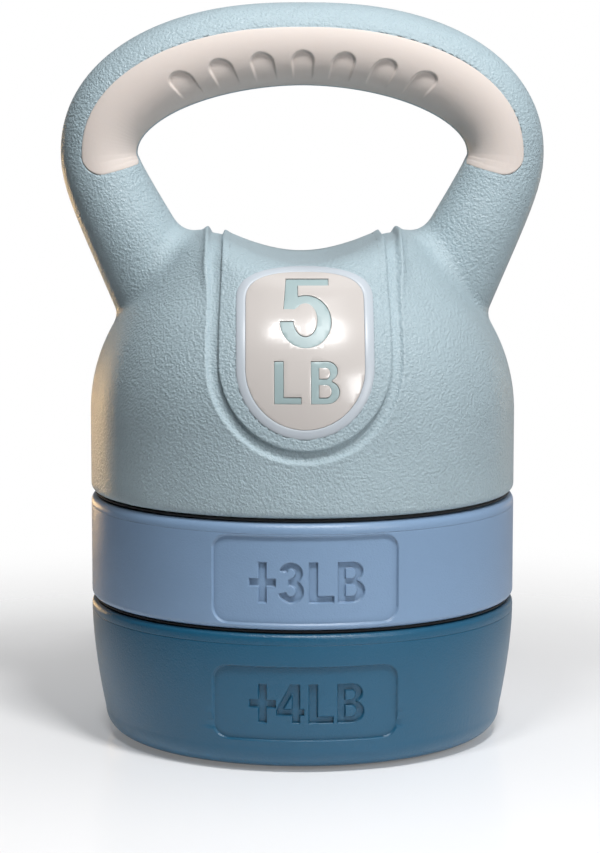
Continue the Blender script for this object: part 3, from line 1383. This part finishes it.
def base_shell(weight):
    """Base weight's shell: label wall, big lower corner, ring groove and knob pocket."""
    wall_top = BASE_TOP - weight.lid_rim - GAP
    corner_z = BASE_BOTTOM + weight.foot_corner
    corner_radius = base_radius(weight, corner_z) - weight.foot_corner
    label = (weight.base_label_low, weight.base_label_high)
    pocket, roof = POCKET_RADIUS, POCKET_ROOF
    roof_top = roof + weight.wall
    groove_in, groove_out = RING_INNER - GAP, RING_OUTER + GAP
    profile = arc((BODY_RADIUS - SEAM_ROUND, wall_top - SEAM_ROUND), (SEAM_ROUND,) * 2, 90.0, 0.0, 3)
    profile += [(base_radius(weight, z), z)
                for z in fine_levels(corner_z + 0.0002, wall_top - 0.0006)]
    profile += arc((corner_radius, corner_z), (weight.foot_corner,) * 2, 0.0, -90.0, 14)
    profile += [(groove_out + 0.0005, BASE_BOTTOM), (groove_out, BASE_BOTTOM + 0.0005),
                (groove_out, GROOVE_TOP), (groove_in, GROOVE_TOP), (groove_in, BASE_BOTTOM + 0.0005),
                (groove_in - 0.0005, BASE_BOTTOM), (pocket + 0.0012, BASE_BOTTOM),
                (pocket + 0.0004, BASE_BOTTOM + 0.0003), (pocket, BASE_BOTTOM + 0.0012),
                (pocket, roof - 0.0015), (pocket - 0.0005, roof - 0.0004), (pocket - 0.0015, roof),
                (BORE_MOUTH, roof), (BORE, roof + 0.0004), (BORE, roof_top),
                (pocket + weight.wall, roof_top), (pocket + weight.wall, BASE_FLOOR),
                (corner_radius + 0.001, BASE_FLOOR)]
    inner_levels = np.linspace(corner_z, wall_top, 8)
    profile += [(base_radius(weight, z) - weight.wall, z) for z in inner_levels]
    figures = label_figures(figure_four(), weight.base_figures, weight.figure_height)
    piece = turned("base_shell_skin", profile, label_columns(weight.label_half_width),
                   label_dent(weight, *label, figures))
    return smooth_faces(piece, 60.0)


def gasket_ring(name, bottom):
    """Thin rubber ring with rounded edges."""
    inner, outer, half = GASKET_INNER, GASKET_OUTER, GASKET_HALF
    profile = (arc((outer - half, bottom + half), (half, half), -90.0, 90.0, 6)
               + arc((inner + half, bottom + half), (half, half), 90.0, 270.0, 6))
    return smooth_faces(turned(name, profile, even_turn(160)), 60.0)


def foot_ring_solid():
    """Rubber foot ring with two round beads under it."""
    inner, outer, top = RING_INNER, RING_OUTER, RING_TOP
    tread = [(outer, 0.0009)]
    for centre in (outer - 0.0040, (inner + outer) / 2.0, inner + 0.0040):
        tread += arc((centre, 0.0012), (0.0028, 0.0012), -20.0, -160.0, 8)
    profile = [(inner, top), (outer, top), *tread, (inner, 0.0009)]
    return smooth_faces(turned("foot_ring_treaded", profile, even_turn(160)), 40.0)


def knob_solid(clamp):
    """Star knob with round lobes, rounded edges, a dished face and a recess for the screw."""
    bottom, top = low("clamp_knob").z, high("clamp_knob").z
    radius, edge, hub = high("clamp_knob").x, clamp.edge, clamp.hexagon + GAP
    profile = [(hub, top), *arc((radius - edge, top - edge), (edge, edge), 90.0, 0.0, 5),
               *arc((radius - edge, bottom + edge), (edge, edge), 0.0, -90.0, 5),
               (clamp.dish, bottom), (clamp.dish - clamp.dish_depth, bottom + clamp.dish_depth),
               (hub, bottom + clamp.dish_depth)]

    def lobes(turn, reach, height):
        share = smooth_step(reach, clamp.dish, radius - edge)
        return share * clamp.lobe_depth * (1.0 - np.cos(clamp.lobe_count * turn)) / 2.0

    knob = turned("clamp_knob_moulded", profile, even_turn(240), lobes)
    hub_plug = turned_plug("hub", hub + GAP, bottom + clamp.dish_depth, top)
    carved(knob, hub_plug, "UNION")
    carved(knob, hexagon("recess", clamp.hexagon, bottom - edge, clamp.recess_top))
    carved(knob, turned_plug("bore", clamp.bore, bottom - edge, top + edge))
    return smooth_faces(knob)


# ---------------------------------------------------------------- operators

SIDES = (("front", -1.0), ("rear", 1.0))


def settings(context, name):
    """One of the scene's groups of sizes."""
    return getattr(context.scene, "kettlebell_" + name)


class KETTLEBELL_OT_bell(bpy.types.Operator):
    """Make the bell's shell and the channel round its front and rear"""

    bl_idname = "kettlebell.bell"
    bl_label = "Bell"

    def execute(self, context):
        skin = Skin(settings(context, "bell"))
        band, badge = settings(context, "band"), settings(context, "badge")
        teal = ldpe_grained_teal(settings(context, "finish"))
        shell = bell_shell(skin, band, badge, settings(context, "grip"))
        finish_piece(shell, teal, "handle_unit", "teal_shell", "bell_shell")
        finish_piece(band_channel(skin, band), teal, "handle_unit", "teal_shell")
        for word, side in SIDES:
            seat = badge_seat(f"{word}_badge_seat", skin, badge, side)
            finish_piece(seat, teal, "handle_unit", "teal_shell")
            seat = grip_seat(f"{word}_grip_seat", skin, settings(context, "grip"), side)
            finish_piece(seat, teal, "handle_unit", "teal_shell")
        return {"FINISHED"}


class KETTLEBELL_OT_badges(bpy.types.Operator):
    """Make the badges: frames, plates and the front's inlaid figures"""

    bl_idname = "kettlebell.badges"
    bl_label = "Badges"

    def execute(self, context):
        skin = Skin(settings(context, "bell"))
        badge, finish = settings(context, "badge"), settings(context, "finish")
        pale, gloss = abs_satin_pale_blue(finish), abs_gloss_cream(finish)
        teal = abs_satin_teal(finish)
        for word, side in SIDES:
            frame_piece = badge_frame(f"{word}_badge_frame_crowned", skin, badge, side)
            finish_piece(frame_piece, pale, "handle_unit", "pale_blue_frame", f"{word}_badge_frame")
            figures = badge_figures() if word == "front" else {}
            plate = badge_plate(f"{word}_badge_plate_gloss", skin, badge, side, figures)
            finish_piece(plate, gloss, "handle_unit", "cream_plate", f"{word}_badge_plate")
        for node, outlines in badge_figures().items():
            inlay = flat_pattern(node + "_set", skin, outlines, -1.0, -badge.inlay_step, 0.0014,
                                 0.00008, 0.00010)
            finish_piece(inlay, teal, "handle_unit", "teal_inlay", node)
        return {"FINISHED"}


class KETTLEBELL_OT_grips(bpy.types.Operator):
    """Make the soft pads on the front and the back of the handle"""

    bl_idname = "kettlebell.grips"
    bl_label = "Grips"

    def execute(self, context):
        skin = Skin(settings(context, "bell"))
        cream = tpe_soft_cream(settings(context, "finish"))
        for word, side in SIDES:
            pad = grip_pad(f"{word}_grip_pad_soft", skin, settings(context, "grip"), side,
                           word == "front")
            finish_piece(pad, cream, "handle_unit", "cream_grip", f"{word}_grip_pad")
        return {"FINISHED"}


class KETTLEBELL_OT_weights(bpy.types.Operator):
    """Make the middle and the base weight, their lids, gaskets and foot ring"""

    bl_idname = "kettlebell.weights"
    bl_label = "Weights"

    def execute(self, context):
        weight, finish = settings(context, "weight"), settings(context, "finish")
        periwinkle, blue = hdpe_satin_periwinkle(finish), hdpe_satin_deep_blue(finish)
        rubber = rubber_black(finish)
        finish_piece(middle_shell(weight), periwinkle, "middle_weight", "periwinkle_shell",
                     "middle_shell")
        middle_lid = lid_solid("middle_lid_rounded", weight, MIDDLE_TOP, weight.lid_round)
        finish_piece(middle_lid, periwinkle, "middle_weight", "periwinkle_shell", "middle_lid")
        finish_piece(base_shell(weight), blue, "base_weight", "deep_blue_shell", "base_shell")
        base_lid = lid_solid("base_lid_rounded", weight, BASE_TOP, weight.rim_round)
        finish_piece(base_lid, blue, "base_weight", "deep_blue_shell", "base_lid")
        finish_piece(gasket_ring("upper_gasket_ring", MIDDLE_TOP + GAP), rubber, "middle_weight",
                     "black_rubber", "upper_gasket")
        finish_piece(gasket_ring("lower_gasket_ring", BASE_TOP + GAP), rubber, "base_weight",
                     "black_rubber", "lower_gasket")
        finish_piece(foot_ring_solid(), rubber, "base_weight", "black_rubber", "foot_ring")
        return {"FINISHED"}


class KETTLEBELL_OT_knob(bpy.types.Operator):
    """Make the moulded knob of the clamp screw"""

    bl_idname = "kettlebell.knob"
    bl_label = "Knob"

    def execute(self, context):
        nylon = nylon_glass_filled(settings(context, "finish"))
        knob = knob_solid(settings(context, "clamp"))
        finish_piece(knob, nylon, "clamp", "black_nylon", "clamp_knob")
        return {"FINISHED"}


class KETTLEBELL_OT_inner_parts(bpy.types.Operator):
    """Give the parts that keep their own meshes their finishes"""

    bl_idname = "kettlebell.inner_parts"
    bl_label = "Inner parts"

    def execute(self, context):
        finish = settings(context, "finish")
        zinc, drawn = steel_zinc_plated(finish), steel_drawn_bar(finish)
        cement, nylon = cement_ore_fill(finish), bpy.data.materials["glass_filled_nylon"]
        finishes = {
            "bell_bottom_plate": nylon,
            "bell_fill": cement, "middle_fill": cement, "base_fill": cement,
            "handle_steel_bar": drawn, "middle_sleeve": drawn, "base_sleeve": drawn,
            "threaded_insert": zinc, "clamp_screw": zinc, "knob_washer": zinc,
        }
        for index in range(4):
            finishes[f"bottom_plate_screw_{index + 1}"] = zinc
        for node, material in finishes.items():
            for slot in frame["nodes"][node].material_slots:
                slot.material = material
        return {"FINISHED"}


class KETTLEBELL_OT_stage(bpy.types.Operator):
    """Make the floor, the soft lights and the camera"""

    bl_idname = "kettlebell.stage"
    bl_label = "Stage"

    def execute(self, context):
        stage = settings(context, "stage")
        floor(stage)
        surroundings(context)
        middle = Vector((0.0, 0.0, 0.16))
        for name, place, size, power, tint in LIGHTS:
            soft_light(name, Vector(place), middle, size, power, linear(tint)[:3])
        camera(context, stage)
        return {"FINISHED"}


# ---------------------------------------------------------------- stage

# Name, place, edge length, power in watts and tint of each soft light.
LIGHTS = (
    ("top_rear", (0.10, 0.45, 1.35), 1.00, 2.4, "#FFFFFF"),
    ("key_right", (0.55, -0.85, 0.50), 0.30, 3.0, "#FFFFFF"),
    ("top_left", (-0.13, -0.40, 0.80), 0.14, 1.6, "#FFFFFF"),
    ("top_right", (0.14, -0.40, 0.80), 0.14, 4.2, "#FFFFFF"),
    ("rim_left", (-0.60, 1.00, 0.03), 0.20, 1.5, "#FFD49A"),
    ("rim_right", (0.62, 1.00, 0.05), 0.20, 0.15, "#FFD9A2"),
)

# Direction from which each part of the room light comes, and its strength there.
ROOM = (
    ((1.0, 0.0, 0.0), 0.27),
    ((0.0, 1.0, 0.0), 0.27),
)


def floor(stage):
    """Pale floor with a faint gloss that fades out round the object."""
    form = bmesh.new()
    bmesh.ops.create_circle(form, cap_ends=True, segments=128, radius=3.0)
    mesh = bpy.data.meshes.new("floor")
    form.to_mesh(mesh)
    form.free()
    piece = bpy.data.objects.new("floor", mesh)
    bpy.context.scene.collection.objects.link(piece)
    material = bpy.data.materials.new("lacquered_white_floor")
    material.use_nodes = True
    tree = material.node_tree
    tree.nodes.clear()
    place = add(tree, "ShaderNodeTexCoord").outputs["Object"]
    reach = add(tree, "ShaderNodeVectorMath", {0: place}, operation="LENGTH").outputs["Value"]
    shader = add(tree, "ShaderNodeBsdfPrincipled", {"Base Color": (0.93, 0.93, 0.94, 1.0),
                                                    "Roughness": 0.16, "Specular IOR Level": 0.28,
                                                    "Emission Color": (1.0, 1.0, 1.0, 1.0),
                                                    "Emission Strength": stage.floor_glow})
    clear = add(tree, "ShaderNodeBsdfTransparent")
    fade = add(tree, "ShaderNodeMapRange", {"Value": reach, "From Min": stage.floor_edge,
                                            "From Max": stage.floor_end},
               interpolation_type="SMOOTHSTEP")
    mixed = add(tree, "ShaderNodeMixShader", {0: fade.outputs["Result"], 1: shader.outputs["BSDF"],
                                              2: clear.outputs["BSDF"]})
    add(tree, "ShaderNodeOutputMaterial", {"Surface": mixed.outputs["Shader"]})
    mesh.materials.append(material)


def surroundings(context):
    """Soft room light from the right and from behind, with none from the left and the front."""
    world = bpy.data.worlds.new("soft_room")
    context.scene.world = world
    world.use_nodes = True
    tree = world.node_tree
    tree.nodes.clear()
    direction = add(tree, "ShaderNodeTexCoord").outputs["Generated"]
    level = None
    for side, strength in ROOM:
        toward = add(tree, "ShaderNodeVectorMath", {0: direction, 1: side}, operation="DOT_PRODUCT")
        facing = add(tree, "ShaderNodeMath", {0: toward.outputs["Value"], 1: 0.0},
                     operation="MAXIMUM")
        part = add(tree, "ShaderNodeMath", {0: facing.outputs[0], 1: strength},
                   operation="MULTIPLY")
        if level is None:
            level = part.outputs[0]
        else:
            level = add(tree, "ShaderNodeMath", {0: level, 1: part.outputs[0]}).outputs[0]
    room = add(tree, "ShaderNodeBackground", {"Color": (0.97, 0.98, 1.0, 1.0),
                                              "Strength": level})
    backdrop = add(tree, "ShaderNodeBackground", {"Color": (1.0, 1.0, 1.0, 1.0),
                                                  "Strength": 1.0})
    seen = add(tree, "ShaderNodeLightPath").outputs["Is Camera Ray"]
    mixed = add(tree, "ShaderNodeMixShader", {0: seen, 1: room.outputs[0], 2: backdrop.outputs[0]})
    add(tree, "ShaderNodeOutputWorld", {"Surface": mixed.outputs[0]})


def soft_light(name, place, target, size, power, tint):
    """Square area light that faces a point."""
    light = bpy.data.lights.new(name, "AREA")
    light.size = size
    light.energy = power
    light.color = tint
    holder = bpy.data.objects.new(name, light)
    holder.location = place
    holder.rotation_euler = (target - place).to_track_quat("-Z", "Y").to_euler()
    bpy.context.scene.collection.objects.link(holder)


def camera(context, stage):
    """Long lens a metre away, a little above the saddle and pitched down."""
    lens = bpy.data.cameras.new("view")
    lens.lens = stage.lens
    lens.sensor_width = 36.0
    lens.clip_end = 20.0
    holder = bpy.data.objects.new("view", lens)
    along, across = math.cos(stage.turn), math.sin(stage.turn)
    holder.location = (stage.side * along + stage.distance * across,
                       stage.side * across - stage.distance * along, stage.height)
    holder.rotation_euler = (math.pi / 2.0 - stage.pitch, 0.0, stage.turn)
    context.scene.collection.objects.link(holder)
    context.scene.camera = holder
    context.scene.view_settings.view_transform = "Standard"


class KETTLEBELL_PT_sidebar(bpy.types.Panel):
    """Lists the pieces of the kettlebell and their sizes"""

    bl_idname = "KETTLEBELL_PT_sidebar"
    bl_label = "Kettlebell"
    bl_space_type = "VIEW_3D"
    bl_region_type = "UI"
    bl_category = "Kettlebell"

    def draw(self, context):
        for operator in OPERATORS:
            self.layout.operator(operator.bl_idname)
        for name, group in GROUPS.items():
            box = self.layout.box()
            box.label(text=group.__name__)
            for prop in group.__annotations__:
                box.prop(getattr(context.scene, name), prop)


OPERATORS = (KETTLEBELL_OT_bell, KETTLEBELL_OT_badges, KETTLEBELL_OT_grips,
             KETTLEBELL_OT_weights, KETTLEBELL_OT_knob, KETTLEBELL_OT_inner_parts,
             KETTLEBELL_OT_stage)


def register():
    """Register the sizes, the operators and the panel."""
    for name, group in GROUPS.items():
        bpy.utils.register_class(group)
        setattr(bpy.types.Scene, name, PointerProperty(type=group))
    for operator in OPERATORS:
        bpy.utils.register_class(operator)
    bpy.utils.register_class(KETTLEBELL_PT_sidebar)


def unregister():
    """Take away everything that register added."""
    bpy.utils.unregister_class(KETTLEBELL_PT_sidebar)
    for operator in reversed(OPERATORS):
        bpy.utils.unregister_class(operator)
    for name, group in GROUPS.items():
        delattr(bpy.types.Scene, name)
        bpy.utils.unregister_class(group)


def main():
    """Make every piece."""
    register()
    for operator in OPERATORS:
        group, name = operator.bl_idname.split(".")
        getattr(getattr(bpy.ops, group), name)()


if __name__ == "__main__":
    main()
